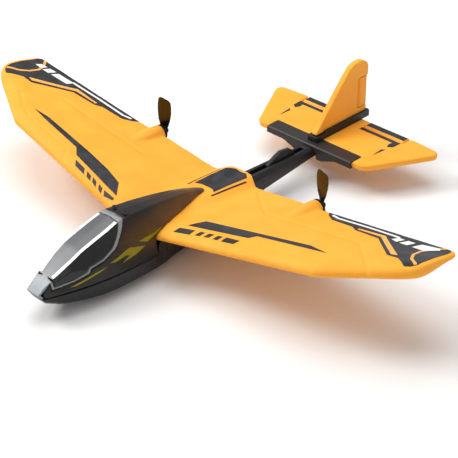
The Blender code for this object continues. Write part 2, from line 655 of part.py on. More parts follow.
def make_side_fittings():
    """Power switch, charging socket and status lamp behind the starboard wall."""
    inner = -SIDE_X + GAP
    body = box("power_switch", (inner, SWITCH_Y - 2 * MM, SIDE_Z - 2.2 * MM),
               (inner + 4 * MM, SWITCH_Y + 6.6 * MM, SIDE_Z + 2.2 * MM), BLACK)
    half = SLIDER_HIGH / 2
    travel_end = SWITCH_Y + SLIDER_LENGTH + SLIDER_TRAVEL
    boolean(body, box("switch_well", (inner - 1 * MM, SWITCH_Y - GAP, SIDE_Z - half - GAP),
                      (inner + 1.8 * MM, travel_end + GAP, SIDE_Z + half + GAP)))
    knob = box("switch_slider", (-SIDE_X - 3.9 * MM, SWITCH_Y, SIDE_Z - half),
               (inner + 1.5 * MM, SWITCH_Y + SLIDER_LENGTH, SIDE_Z + half), SILVER)
    bevel(knob, 0.2 * MM, 1)
    socket = box("charge_socket", (inner, SOCKET_Y - 3.4 * MM, SIDE_Z - 2.4 * MM),
                 (inner + 5 * MM, SOCKET_Y + 3.4 * MM, SIDE_Z + 2.4 * MM), BLACK)
    boolean(socket, box("socket_well", (inner - 1 * MM, SOCKET_Y - 2.2 * MM, SIDE_Z - 1.2 * MM),
                        (inner + 3.6 * MM, SOCKET_Y + 2.2 * MM, SIDE_Z + 1.2 * MM)))
    lamp = rod("status_lamp", (-SIDE_X - 1.6 * MM, LAMP_Y, SIDE_Z), 1.2 * MM, 3.6 * MM, (1, 0, 0), LAMP)
    bevel(smooth(lamp), 0.4 * MM, 2)


# ---- propulsion ---------------------------------------------------------------------
def make_motors():
    sleeve_r = MOTOR_R + GAP + SLEEVE_WALL
    rear = HUB_Y - 3.3 * MM
    front = rear - MOTOR_LENGTH - 0.6 * MM
    for label, side in (("left", 1), ("right", -1)):
        x = side * HUB_X
        sleeve = rod("motor_sleeve_" + label, (x, front, HUB_Z), sleeve_r, rear - front, (0, 1, 0), BLACK, 20)
        flange = rod("sleeve_flange", (x, rear, HUB_Z), sleeve_r + 0.8 * MM, 0.9 * MM, (0, 1, 0), None, 20)
        boolean(sleeve, flange, "UNION")
        boolean(sleeve, rod("sleeve_bore", (x, front - 1 * MM, HUB_Z), MOTOR_R + GAP, 30 * MM, (0, 1,
                                                                                                0), None, 20))
        smooth(sleeve)
        motor = rod("motor_" + label, (x, front + 0.3 * MM, HUB_Z), MOTOR_R, MOTOR_LENGTH, (0, 1, 0),
                    STEEL, 20)
        smooth(motor)
        end = front + 0.3 * MM + MOTOR_LENGTH
        boolean(motor, rod("shaft_bore", (x, end - 4 * MM, HUB_Z), 0.8 * MM, 6 * MM, (0, 1, 0), None, 12))


# radius, left edge, right edge, pitch in degrees, thickness
BLADE = [(1.2, -1.9, 1.9, 26, 1.6), (4.5, -3.2, 3.2, 22, 1.4), (8.5, -4.6, 4.6, 15, 1.2),
         (14.0, -5.2, 5.8, 11, 1.1), (19.0, -5.2, 6.1, 9, 1.0), (22.3, -4.8, 5.7, 8, 0.9),
         (23.6, -4.2, 4.2, 8, 0.8), (24.5, -3.4, -0.5, 8, 0.7)]


def blade_rings(side, turn):
    """Lens sections from the hub to the slanting tip; turn is 0 or 180 degrees about the shaft."""
    half_turn = Matrix.Rotation(math.radians(turn), 4, "Y")
    hub = Vector((side * HUB_X, HUB_Y, HUB_Z))
    rings = []
    for radius, left, right, pitch, thick in BLADE:
        lean = side * math.radians(pitch)
        reach = radius / 24.5 * PROP_RADIUS
        ring = []
        for share, lift in ((0.0, 0.14), (0.3, 0.5), (0.7, 0.4), (1.0, 0.14), (1.0, -0.14), (0.7, -0.3),
                            (0.3, -0.35), (0.0, -0.14)):
            chord = (left + share * (right - left)) * MM
            up = lift * thick * MM
            x = chord * math.cos(lean) + up * math.sin(lean)
            y = up * math.cos(lean) - chord * math.sin(lean)
            ring.append(hub + half_turn @ Vector((x, y, reach)))
        rings.append(ring)
    return rings


def make_propellers():
    for label, side in (("left", 1), ("right", -1)):
        x = side * HUB_X
        hub = rod("propeller_" + label, (x, HUB_Y - 1.6 * MM, HUB_Z), 2.3 * MM, 3.2 * MM, (0, 1, 0),
                  AMBER, 16)
        smooth(hub)
        boolean(hub, rod("spinner", (x, HUB_Y + 1.5 * MM, HUB_Z), 2.3 * MM, 1.6 * MM, (0, 1, 0), None, 16,
                         top_radius=0.8 * MM), "UNION")
        boolean(hub, rod("shaft", (x, HUB_Y - 6.0 * MM, HUB_Z), 0.5 * MM, 5 * MM, (0, 1, 0), None, 12),
                "UNION")
        for turn in (0, 180):
            boolean(hub, loft("blade", blade_rings(side, turn)), "UNION")
        centre_origin(hub, (x, HUB_Y, HUB_Z))


def centre_origin(obj, point):
    """Put a moving piece's origin on its joint's axis."""
    shift = Vector(point)
    obj.data.transform(Matrix.Translation(-shift))
    obj.location = shift


def tube(name, points, radius, mat):
    """A round wire along a smooth row of points, as a closed mesh."""
    curve = bpy.data.curves.new(name + "_path", "CURVE")
    curve.dimensions = "3D"
    curve.bevel_depth = radius
    curve.bevel_resolution = 2
    curve.use_fill_caps = True
    spline = curve.splines.new("POLY")
    spline.points.add(len(points) - 1)
    for slot, point in zip(spline.points, points):
        slot.co = (*point, 1.0)
    holder = bpy.data.objects.new(name + "_path", curve)
    PARTS.objects.link(holder)
    mesh = bpy.data.meshes.new_from_object(holder.evaluated_get(bpy.context.evaluated_depsgraph_get()))
    bpy.data.objects.remove(holder)
    bm = bmesh.new()
    bm.from_mesh(mesh)
    bmesh.ops.remove_doubles(bm, verts=bm.verts, dist=0.00002)
    return from_bmesh(name, bm, mat)


def rounded(points, per_span=3):
    """A Catmull-Rom curve through hand-set points."""
    rows = [Vector(point) for point in points]
    rows = [rows[0] * 2 - rows[1]] + rows + [rows[-1] * 2 - rows[-2]]
    out = []
    for a, b, c, d in zip(rows, rows[1:], rows[2:], rows[3:]):
        for k in range(per_span):
            t = k / per_span
            out.append(0.5 * (2 * b + (c - a) * t + (2 * a - 5 * b + 4 * c - d) * t * t
                              + (3 * b - 3 * c + d - a) * t ** 3))
    return out + [rows[-2]]


def make_motor_leads():
    """A twisted pair from each motor, along the wing's groove and into the pod."""
    def under(x):
        return WING_Z + DIHEDRAL * x - NOSE_DROP - 0.38 * WING_THICK + 1.0 * MM
    for label, side in (("left", 1), ("right", -1)):
        outer = HUB_X - 6 * MM
        route = [(outer, LEAD_Y, under(outer)), (46 * MM, LEAD_Y, under(46 * MM)),
                 (26 * MM, LEAD_Y, under(26 * MM)), (15.8 * MM, LEAD_Y, under(15.5 * MM) - 0.1 * MM),
                 (12.3 * MM, LEAD_Y - 1 * MM, 20.2 * MM), (9.9 * MM, LEAD_Y - 4 * MM, 18.4 * MM),
                 (9.8 * MM, LEAD_Y - 13 * MM, 15.5 * MM),
                 (10.2 * MM, -25 * MM, 13.5 * MM), (9.0 * MM, -42 * MM, 11.0 * MM),
                 (6.5 * MM, WING_FRONT + 10 * MM, 7.5 * MM)]
        tube("motor_lead_" + label, rounded([(side * x, y, z) for x, y, z in route]), LEAD_R, WIRE)


# ---- tail -----------------------------------------------------------------------------
BOOM_REAR_TOP = 21.4 * MM
BOOM_REAR_LOW = 12.5 * MM
TONGUE_TOP = TAIL_Z - GAP - BRACKET_WALL - GAP
HOLDER_HALF = FIN_THICK / 2 + GAP + 1.6 * MM
HOLDER_TOP = 28.5 * MM
FIN_BASE = TAIL_TOP + GAP + 1.8 * MM
BRACKET_REAR = BRACKET_Y + BRACKET_DEPTH
BRACKET_TOP = TAIL_TOP        # flush, in a step cut into the tailplane
HUMP_FRONT = 50.0 * MM
HUMP_REAR = 77.0 * MM


def boom_ring(y, half, low, top):
    shoulder = half * 0.55
    tall = top - low
    side = [(shoulder, top), (half * 0.92, top - 0.16 * tall), (half, top - 0.42 * tall),
            (half * 0.94, low + 0.24 * tall), (half * 0.55, low)]
    ring = [(x, y, z) for x, z in side]
    return ring + [(-x, y, z) for x, z in reversed(side)]


def make_boom():
    rows = [(BOOM_FRONT_Y, BOOM_FRONT_HALF, BOOM_FRONT_LOW, BOOM_FRONT_TOP),
            (30 * MM, BOOM_FRONT_HALF, BOOM_FRONT_LOW, BOOM_FRONT_TOP),
            (BRACKET_Y - GAP, BOOM_REAR_HALF, BOOM_REAR_LOW, BOOM_REAR_TOP),
            (BRACKET_REAR + 3 * MM, BOOM_REAR_HALF - 0.5 * MM, BOOM_REAR_LOW + 0.5 * MM, BOOM_REAR_TOP)]
    boom = smooth(loft("tail_boom", [boom_ring(*row) for row in rows], BLACK), 20)
    boolean(boom, box("tongue_cut", (-20 * MM, BRACKET_Y - GAP, TONGUE_TOP), (20 * MM, 130 * MM, 40 * MM)))
    half = BOOM_SLOT / 2
    boolean(boom, box("top_slot", (-half, 6 * MM, BOOM_FRONT_TOP - 9 * MM), (half, BRACKET_Y - 5 * MM,
                                                                             40 * MM)))
    boolean(boom, rod("tongue_bore", (0, BRACKET_Y + 6 * MM, 5 * MM), SCREW_SHANK_R + GAP, 20 * MM, (0,
                                                                                                     0, 1)))
    boolean(boom, rod("skid_screw_room", (0, skid_screw_places()[1], 0), SCREW_SHANK_R + GAP, 9 * MM,
                      (0, 0, 1)))


def make_boom_fairing():
    outline = [(HUMP_FRONT, 15.5 * MM), (HUMP_REAR, 15.5 * MM), (HUMP_REAR, 22.6 * MM),
               (HUMP_REAR - 4.5 * MM, 27.0 * MM), (HUMP_REAR - 13 * MM, 28.2 * MM),
               (HUMP_FRONT + 9 * MM, 26.6 * MM), (HUMP_FRONT + 1 * MM, 22.6 * MM)]
    half = BOOM_SLOT / 2 - GAP
    fairing = plate("boom_fairing", outline, -half, half, "X", BLACK)
    return bevel(fairing, 0.35 * MM, 1)


def make_bracket():
    low = TAIL_Z + REBATE_UNDER - GAP - BRACKET_WALL
    outline = [(BRACKET_Y, low + 0.5 * MM), (BRACKET_Y + 0.6 * MM, low), (BRACKET_REAR, low),
               (BRACKET_REAR, BRACKET_TOP), (BRACKET_Y + 0.9 * MM, BRACKET_TOP), (BRACKET_Y,
                                                                                  BRACKET_TOP - 0.9 * MM)]
    bracket = plate("tail_bracket", outline, -BRACKET_HALF, BRACKET_HALF, "X", BLACK)
    slot_y = BRACKET_Y + BRACKET_WALL + GAP
    boolean(bracket, box("tail_slot", (-60 * MM, slot_y, TAIL_Z + REBATE_UNDER - GAP),
                         (60 * MM, 130 * MM, BRACKET_TOP - BRACKET_WALL)))
    for side in (1, -1):
        gusset = [(side * 6.4 * MM, 12.6 * MM), (side * 25 * MM, low - 0.2 * MM), (side * 25 * MM,
                                                                                   low + 0.4 * MM),
                  (side * 6.4 * MM, low + 0.4 * MM)]
        boolean(bracket, plate("gusset", gusset, BRACKET_Y + 1 * MM, BRACKET_Y + 2.4 * MM, "Y"), "UNION")
        foot = [(side * 6.4 * MM, 12.6 * MM), (side * 11 * MM, 12.6 * MM), (side * 25 * MM, low + 0.2 * MM),
                (side * 19 * MM, low + 0.2 * MM), (side * 10.6 * MM, 13.7 * MM), (side * 6.4 * MM, 13.7 * MM)]
        boolean(bracket, plate("gusset_foot", foot, BRACKET_Y + 1 * MM, BRACKET_Y + 9 * MM, "Y"), "UNION")
    boolean(bracket, rod("bracket_bore", (0, BRACKET_Y + 6 * MM, 5 * MM), SCREW_SHANK_R + GAP, 20 * MM,
                         (0, 0, 1)))


def make_tail_screw():
    y = BRACKET_Y + 6 * MM
    low = BOOM_REAR_LOW - 1.0 * MM
    screw = rod("tail_screw", (0, y, low), SCREW_HEAD_R, 1.0 * MM, (0, 0, 1), STEEL)
    boolean(screw, rod("tail_shank", (0, y, low + 0.9 * MM), SCREW_SHANK_R, 5.4 * MM, (0, 0, 1)), "UNION")
    cross_recess(screw, (0, y, low))


def tail_outline():
    """Port half of the tailplane seen from above, leading edge first, with the tab cut out."""
    hinge = TAIL_TE_Y - TAB_HINGE - CREASE
    return [(0.0, TAIL_LE_Y), (45.5 * MM, TAIL_LE_Y), (49.5 * MM, TAIL_LE_Y + 3.2 * MM),
            (TAIL_HALF - 0.6 * MM, TAIL_TE_Y - 8.5 * MM), (TAIL_HALF, TAIL_TE_Y - 6 * MM),
            (TAIL_HALF - 0.8 * MM, TAIL_TE_Y - 3.4 * MM), (TAIL_HALF - 3 * MM, TAIL_TE_Y - 1.6 * MM),
            (TAB_OUTER + 3.5 * MM, TAIL_TE_Y), (TAB_OUTER + CREASE + 0.4 * MM, TAIL_TE_Y - 0.8 * MM),
            (TAB_OUTER + CREASE, hinge), (TAB_INNER - CREASE, hinge), (TAB_INNER - CREASE, TAIL_TE_Y),
            (0.0, TAIL_TE_Y)]


def make_tailplane():
    port = tail_outline()
    outline = port + [(-x, y) for x, y in reversed(port) if x > 0]
    tail = plate("tailplane", outline, TAIL_Z, TAIL_TOP, "Z", FOAM)
    bevel(tail, 1.2 * MM, 2, 60)
    half = BRACKET_HALF + GAP
    rear = BRACKET_REAR + GAP
    boolean(tail, box("rebate_top", (-half, 0.0, BRACKET_TOP - BRACKET_WALL - GAP), (half, rear, 60 * MM)))
    boolean(tail, box("rebate_under", (-half, 0.0, 0.0), (half, rear, TAIL_Z + REBATE_UNDER)))
    for label, side in (("left", 1), ("right", -1)):
        low = TAIL_Z + 0.1 * MM
        high = TAIL_TOP - 0.1 * MM
        middle = (low + high) / 2
        front = TAIL_TE_Y - TAB_HINGE
        section = [(front, middle - 0.35 * MM), (front + 2 * MM, low), (TAIL_TE_Y - 1 * MM, low),
                   (TAIL_TE_Y, low + 1 * MM), (TAIL_TE_Y, high - 1 * MM), (TAIL_TE_Y - 1 * MM, high),
                   (front + 2 * MM, high), (front, middle + 0.35 * MM)]
        ends = sorted((side * TAB_INNER, side * TAB_OUTER))
        tab = plate("elevator_tab_" + label, section, ends[0], ends[1], "X", FOAM)
        centre_origin(tab, (0.0, front, middle))


def fin_outline():
    foot = HOLDER_FRONT + 9.5 * MM
    rear = TAIL_TE_Y + 4.2 * MM
    tall = FIN_TOP
    return [(HOLDER_FRONT + 1.6 * MM, 26.9 * MM), (foot, 26.9 * MM), (foot, FIN_BASE), (rear, FIN_BASE),
            (rear + 0.4 * MM, 36 * MM), (rear + 1.4 * MM, tall - 6.5 * MM), (rear + 0.2 * MM,
                                                                             tall - 3.4 * MM),
            (rear - 2.8 * MM, tall - 1.2 * MM), (rear - 6.2 * MM, tall), (rear - 13 * MM, tall - 0.3 * MM),
            (rear - 17.5 * MM, tall - 2.4 * MM), (rear - 24.5 * MM, tall - 9.6 * MM),
            (HOLDER_FRONT + 1.6 * MM, 27.8 * MM)]


HOLDER_FRONT = BRACKET_Y + 4.4 * MM


def make_fin():
    rear = TAIL_TE_Y + 4.2 * MM
    fin = plate("fin", fin_outline(), -FIN_THICK / 2, FIN_THICK / 2, "X", FOAM)
    bevel(fin, 1.3 * MM, 2, 25)
    hinge = rear - RUDDER_HINGE
    boolean(fin, box("rudder_room", (-20 * MM, hinge - CREASE, RUDDER_LOW - CREASE),
                     (20 * MM, rear + 20 * MM, RUDDER_HIGH + CREASE)))
    half = FIN_THICK / 2 - 0.1 * MM
    back = rear + 0.6 * MM
    section = [(0.35 * MM, hinge), (half, hinge + 2 * MM), (half, back - 1 * MM), (half - 1 * MM, back)]
    outline = section + [(-x, y) for x, y in reversed(section)]
    tab = plate("rudder_tab", outline, RUDDER_LOW, RUDDER_HIGH, "Z", FOAM)
    centre_origin(tab, (0.0, hinge, 0.0))


def make_fin_holder():
    rear = TAIL_TE_Y + 5.8 * MM
    low = TAIL_TOP + GAP
    outline = [(HOLDER_FRONT, low), (rear, low), (rear, HOLDER_TOP - 1 * MM), (rear - 0.6 * MM, HOLDER_TOP),
               (HOLDER_FRONT + 9 * MM, HOLDER_TOP), (HOLDER_FRONT + 8.2 * MM, 26.5 * MM),
               (HOLDER_FRONT, 26.5 * MM)]
    holder = plate("fin_holder", outline, -HOLDER_HALF, HOLDER_HALF, "X", BLACK)
    half = FIN_THICK / 2 + GAP
    boolean(holder, box("fin_slot", (-half, HOLDER_FRONT + 9.2 * MM, FIN_BASE - GAP),
                        (half, TAIL_TE_Y + 4.5 * MM, 60 * MM)))
    boolean(holder, box("fin_toe_room", (-half, HOLDER_FRONT + 7.5 * MM, 26.6 * MM),
                        (half, HOLDER_FRONT + 10 * MM, 60 * MM)))
    bevel(holder, 0.3 * MM, 1, 50)


make_wing()
make_upper_shell()
make_canopy_frame()
make_canopy()
make_lower_shell()
make_nose_cap()
make_spine_screws()
make_skid()
make_skid_screws()
make_inner_parts()
make_side_fittings()
make_motors()
make_propellers()
make_motor_leads()
make_boom()
make_boom_fairing()
make_bracket()
make_tail_screw()
make_tailplane()
make_fin()
make_fin_holder()
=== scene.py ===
import math

import bpy
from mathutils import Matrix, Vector


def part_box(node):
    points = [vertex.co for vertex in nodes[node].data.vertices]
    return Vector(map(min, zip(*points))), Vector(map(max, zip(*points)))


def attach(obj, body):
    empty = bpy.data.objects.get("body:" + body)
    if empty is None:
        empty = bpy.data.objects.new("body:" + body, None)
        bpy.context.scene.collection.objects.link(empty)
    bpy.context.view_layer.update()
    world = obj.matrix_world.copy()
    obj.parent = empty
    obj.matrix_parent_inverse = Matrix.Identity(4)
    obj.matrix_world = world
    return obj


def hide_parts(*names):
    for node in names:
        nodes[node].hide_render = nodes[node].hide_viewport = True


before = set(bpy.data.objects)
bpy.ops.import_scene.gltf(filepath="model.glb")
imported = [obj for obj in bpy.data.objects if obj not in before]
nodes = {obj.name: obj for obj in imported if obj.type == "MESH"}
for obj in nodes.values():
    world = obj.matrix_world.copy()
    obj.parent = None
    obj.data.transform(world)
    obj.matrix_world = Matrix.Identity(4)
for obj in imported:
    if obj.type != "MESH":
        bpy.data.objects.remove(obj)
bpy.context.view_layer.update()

# ---- studio -------------------------------------------------------------------------
# A pale floor under soft light: a broad overhead panel, a key from the starboard bow
# and a weak fill by the camera.
MM = 0.001
FLOOR_DROP = 0.3 * MM             # the floor lies this far under the model
bpy.ops.object.select_all(action="DESELECT")
bpy.ops.mesh.primitive_plane_add(size=12.0, location=(0, 0, -FLOOR_DROP))
floor = bpy.context.object
floor.name = "studio_floor"

paper = bpy.data.materials.new("studio_paper")
paper.use_nodes = True
tree = paper.node_tree
paper_shader = tree.nodes["Principled BSDF"]
grain = tree.nodes.new("ShaderNodeTexNoise")
grain.inputs["Scale"].default_value = 90.0
tint = tree.nodes.new("ShaderNodeMapRange")
tint.inputs["To Min"].default_value = 0.84
tint.inputs["To Max"].default_value = 0.86
tree.links.new(grain.outputs["Fac"], tint.inputs["Value"])
tree.links.new(tint.outputs["Result"], paper_shader.inputs["Base Color"])
paper_shader.inputs["Roughness"].default_value = 0.9
floor.data.materials.append(paper)

sky = bpy.context.scene.world or bpy.data.worlds.new("studio_sky")
bpy.context.scene.world = sky
sky.use_nodes = True
sky.node_tree.nodes["Background"].inputs["Color"].default_value = (1.0, 1.0, 1.0, 1.0)
sky.node_tree.nodes["Background"].inputs["Strength"].default_value = 0.5

LOOK_AT = Vector((0, 0, 0.02))
for name, place, size, power, colour in (
        ("overhead", (-0.25, 0.2, 1.5), 1.2, 13.5, (1.0, 1.0, 1.0)),
        ("key", (-1.0, -0.6, 1.1), 0.6, 14.0, (1.0, 0.99, 0.97)),
        ("fill", (1.2, -0.6, 0.5), 0.8, 1.0, (0.97, 0.98, 1.0))):
    lamp_data = bpy.data.lights.new(name, "AREA")
    lamp_data.energy = power
    lamp_data.size = size
    lamp_data.color = colour
    lamp = bpy.data.objects.new(name, lamp_data)
    bpy.context.scene.collection.objects.link(lamp)
    lamp.location = place
    lamp.rotation_euler = (LOOK_AT - Vector(place)).to_track_quat("-Z", "Y").to_euler()

CAMERA_DOWN = math.radians(30.05)
CAMERA_TURN = math.radians(43.83)
lens = bpy.data.cameras.new("camera")
lens.sensor_width = 36.0
lens.lens = 123.7
lens.shift_x = -0.0258
lens.shift_y = -0.117
lens.clip_end = 30.0
camera = bpy.data.objects.new("camera", lens)
bpy.context.scene.collection.objects.link(camera)
camera.location = (0.6107, -0.6097, 0.5352)
camera.rotation_euler = (math.radians(90.0) - CAMERA_DOWN, 0.0, CAMERA_TURN)
bpy.context.scene.camera = camera
bpy.context.scene.view_settings.view_transform = "Standard"


# ---- wing ----------------------------------------------------------------------------
# One moulding of yellow-orange bead foam, skinned smooth by the mould. The hump over the
# boom and the two motor humps belong to it, and shallow lines are pressed into its top.
def new_group(name, inputs, outputs):
    """An empty shader group; each socket is (name, kind, default)."""
    group = bpy.data.node_groups.new(name, "ShaderNodeTree")
    for label, kind, value in inputs:
        socket = group.interface.new_socket(label, in_out="INPUT", socket_type=kind)
        socket.default_value = value
    for label, kind in outputs:
        group.interface.new_socket(label, in_out="OUTPUT", socket_type=kind)
    return group, group.nodes.new("NodeGroupInput"), group.nodes.new("NodeGroupOutput")


def noise(group, place, scale, detail=2.0):
    """Noise that stays with the piece."""
    node = group.nodes.new("ShaderNodeTexNoise")
    node.inputs["Scale"].default_value = scale
    node.inputs["Detail"].default_value = detail
    group.links.new(place.outputs["Object"], node.inputs["Vector"])
    return node.outputs["Fac"]


def spread(group, value, low, high, start=0.0, end=1.0):
    """Map a value from start..end to low..high."""
    node = group.nodes.new("ShaderNodeMapRange")
    node.inputs["From Min"].default_value = start
    node.inputs["From Max"].default_value = end
    node.inputs["To Min"].default_value = low
    node.inputs["To Max"].default_value = high
    group.links.new(value, node.inputs["Value"])
    return node.outputs["Result"]


def calculate(group, operation, first, second):
    """One Math node; each operand is a socket or a number."""
    node = group.nodes.new("ShaderNodeMath")
    node.operation = operation
    for socket, value in zip(node.inputs, (first, second)):
        if isinstance(value, (int, float)):
            socket.default_value = value
        else:
            group.links.new(value, socket)
    return node.outputs[0]


def blend_colour(group, share, first, second):
    """Mix two colours; the share is a socket."""
    node = group.nodes.new("ShaderNodeMix")
    node.data_type = "RGBA"
    group.links.new(share, node.inputs["Factor"])
    for label, value in (("A", first), ("B", second)):
        if isinstance(value, tuple):
            node.inputs[label].default_value = (*value, 1.0)
        else:
            group.links.new(value, node.inputs[label])
    return node.outputs["Result"]


def bead_foam_group():
    """Moulded bead foam: a faint net of bead edges, soft mottling and a fine skin."""
    group, given, result = new_group(
        "bead_foam",
        [("Colour", "NodeSocketColor", (1, 1, 1, 1)), ("Deep Colour", "NodeSocketColor", (1, 1, 1, 1)),
         ("Bead Scale", "NodeSocketFloat", 380.0)],
        [("Colour", "NodeSocketColor"), ("Roughness", "NodeSocketFloat"), ("Height", "NodeSocketFloat")])
    place = group.nodes.new("ShaderNodeTexCoord")
    beads = group.nodes.new("ShaderNodeTexVoronoi")
    beads.feature = "DISTANCE_TO_EDGE"
    group.links.new(place.outputs["Object"], beads.inputs["Vector"])
    group.links.new(given.outputs["Bead Scale"], beads.inputs["Scale"])
    edge = spread(group, beads.outputs["Distance"], 0.0, 1.0, 0.0, 0.09)
    mottle = noise(group, place, 55.0, 3.0)
    skin = noise(group, place, 2600.0, 2.0)
    joint = spread(group, edge, 0.16, 0.0)
    share = calculate(group, "ADD", spread(group, mottle, 0.0, 0.55, 0.35, 0.7), joint)
    group.links.new(blend_colour(group, share, given.outputs["Colour"], given.outputs["Deep Colour"]),
                    result.inputs["Colour"])
    group.links.new(spread(group, mottle, 0.5, 0.64), result.inputs["Roughness"])
    height = calculate(group, "ADD", edge, calculate(group, "MULTIPLY", skin, 0.6))
    group.links.new(height, result.inputs["Height"])
    return group


BEAD_FOAM = bead_foam_group()


def material_from(name, group, values, bump=None, **fixed):
    """A Principled material fed by a group; fixed holds values for the shader's own sockets."""
    mat = bpy.data.materials.new(name)
    mat.use_nodes = True
    links = mat.node_tree.links
    shader = mat.node_tree.nodes["Principled BSDF"]
    effect = mat.node_tree.nodes.new("ShaderNodeGroup")
    effect.node_tree = group
    for label, value in values.items():
        effect.inputs[label].default_value = value
    for output in effect.outputs:
        target = {"Colour": "Base Color"}.get(output.name, output.name)
        if target in shader.inputs:
            links.new(output, shader.inputs[target])
    if bump:
        relief = mat.node_tree.nodes.new("ShaderNodeBump")
        relief.inputs["Strength"].default_value = bump[0]
        relief.inputs["Distance"].default_value = bump[1]
        links.new(effect.outputs["Height"], relief.inputs["Height"])
        links.new(relief.outputs["Normal"], shader.inputs["Normal"])
    for label, value in fixed.items():
        shader.inputs[label.replace("_", " ").title().replace("Ior", "IOR")].default_value = value
    return mat


FOAM = material_from(
    "moulded_foam", BEAD_FOAM,
    {"Colour": (0.98, 0.42, 0.040, 1.0), "Deep Colour": (0.93, 0.35, 0.022, 1.0), "Bead Scale": 380.0},
    bump=(0.22, 0.00012), specular_ior_level=0.25)


def reskin(node, name, body, voxel, rounds, finish):
    """A copy of a CAD node: merged, skinned afresh at the voxel size and relaxed."""
    piece = bpy.data.objects.new(name, nodes[node].data.copy())
    bpy.context.scene.collection.objects.link(piece)
    bpy.ops.object.select_all(action="DESELECT")
    piece.select_set(True)
    bpy.context.view_layer.objects.active = piece
    bpy.ops.object.mode_set(mode="EDIT")
    bpy.ops.mesh.select_all(action="SELECT")
    bpy.ops.mesh.remove_doubles(threshold=0.01 * MM)
    bpy.ops.object.mode_set(mode="OBJECT")
    skin = piece.modifiers.new("skin", "REMESH")
    skin.mode = "VOXEL"
    skin.voxel_size = voxel
    bpy.ops.object.modifier_apply(modifier=skin.name)
    relax = piece.modifiers.new("relax", "SMOOTH")
    relax.factor = 0.5
    relax.iterations = rounds
    bpy.ops.object.modifier_apply(modifier=relax.name)
    bpy.ops.object.shade_smooth()
    piece.data.materials.clear()
    piece.data.materials.append(finish)
    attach(piece, body)
    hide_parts(node)
    return piece


def off_line(x, y, line):
    """Distance from a point to a row of straight runs."""
    best = 1.0
    for (ax, ay), (bx, by) in zip(line, line[1:]):
        run = (bx - ax) ** 2 + (by - ay) ** 2
        share = min(max(((x - ax) * (bx - ax) + (y - ay) * (by - ay)) / run, 0.0), 1.0)
        best = min(best, math.hypot(x - ax - share * (bx - ax), y - ay - share * (by - ay)))
    return best


wing = reskin("wing", "foam_wing", "airframe", voxel=0.00085, rounds=7, finish=FOAM)
FACES_UP = 0.2                    # least upward lean of the wing's top
POD_CLEAR = 0.019                 # nothing is pressed in nearer the centreline
PRESSED_LINE = [(0.0245, 0.019), (0.0257, 0.0155), (0.0542, -0.0085), (0.130, -0.0105), (0.1612, -0.0402),
                (0.169, -0.047)]
EDGE_LINE = [(0.078, -0.0585), (0.084, -0.0475), (0.125, -0.0445), (0.136, -0.0405), (0.1545, -0.028)]
for vertex in wing.data.vertices:
    if vertex.normal.z < FACES_UP or abs(vertex.co.x) < POD_CLEAR:
        continue
    x, y = abs(vertex.co.x), vertex.co.y
    for line, wide, deep in ((PRESSED_LINE, 0.0021, 0.00055), (EDGE_LINE, 0.0019, 0.0004)):
        gap = off_line(x, y, line)
        if gap < wide:
            vertex.co.z -= deep * (0.5 + 0.5 * math.cos(math.pi * gap / wide))
wing.data.update()


# ---- printed markings on the wing ------------------------------------------------------
# Charcoal film stamped on the foam: a long dart and a row of bars behind the leading edge,
# a plate over the boom, and a panel with lanes, a white stripe and slanting bars at each tip.
def film_group():
    """Stamped film with uneven gloss: its bluish patches on charcoal are painted sheen, on lighter films
    darker wear.
    """
    group, given, result = new_group(
        "stamped_film",
        [("Colour", "NodeSocketColor", (1, 1, 1, 1)), ("Rub Colour", "NodeSocketColor", (1, 1, 1, 1)),
         ("Rub", "NodeSocketFloat", 0.3)],
        [("Colour", "NodeSocketColor"), ("Roughness", "NodeSocketFloat"), ("Height", "NodeSocketFloat")])
    place = group.nodes.new("ShaderNodeTexCoord")
    cloud = noise(group, place, 140.0, 4.0)
    fleck = noise(group, place, 1500.0, 2.0)
    share = calculate(group, "MULTIPLY", spread(group, cloud, 0.0, 1.0, 0.42, 0.72), given.outputs["Rub"])
    share = calculate(group, "MULTIPLY", share, spread(group, fleck, 0.4, 1.0, 0.35, 0.6))
    group.links.new(blend_colour(group, share, given.outputs["Colour"], given.outputs["Rub Colour"]),
                    result.inputs["Colour"])
    group.links.new(spread(group, cloud, 0.3, 0.5, 0.3, 0.7), result.inputs["Roughness"])
    group.links.new(fleck, result.inputs["Height"])
    return group


STAMPED_FILM = film_group()
# The bluish patches on the charcoal film are painted sheen, standing for the light it catches.
CHARCOAL = material_from(
    "charcoal_film", STAMPED_FILM,
    {"Colour": (0.018, 0.018, 0.021, 1.0), "Rub Colour": (0.07, 0.075, 0.095, 1.0), "Rub": 0.5},
    bump=(0.15, 0.00005), specular_ior_level=0.3)
WHITE = material_from(
    "white_film", STAMPED_FILM,
    {"Colour": (0.88, 0.88, 0.87, 1.0), "Rub Colour": (0.6, 0.58, 0.52, 1.0), "Rub": 0.3},
    bump=(0.1, 0.00005))
LANE = material_from(
    "orange_film", STAMPED_FILM,
    {"Colour": (0.98, 0.44, 0.09, 1.0), "Rub Colour": (0.85, 0.34, 0.04, 1.0), "Rub": 0.4},
    bump=(0.1, 0.00005))


FILM_THICK = 0.00005
CLEAR_OF_PIECE = 0.15             # a sheet is cut this far out and then pressed home


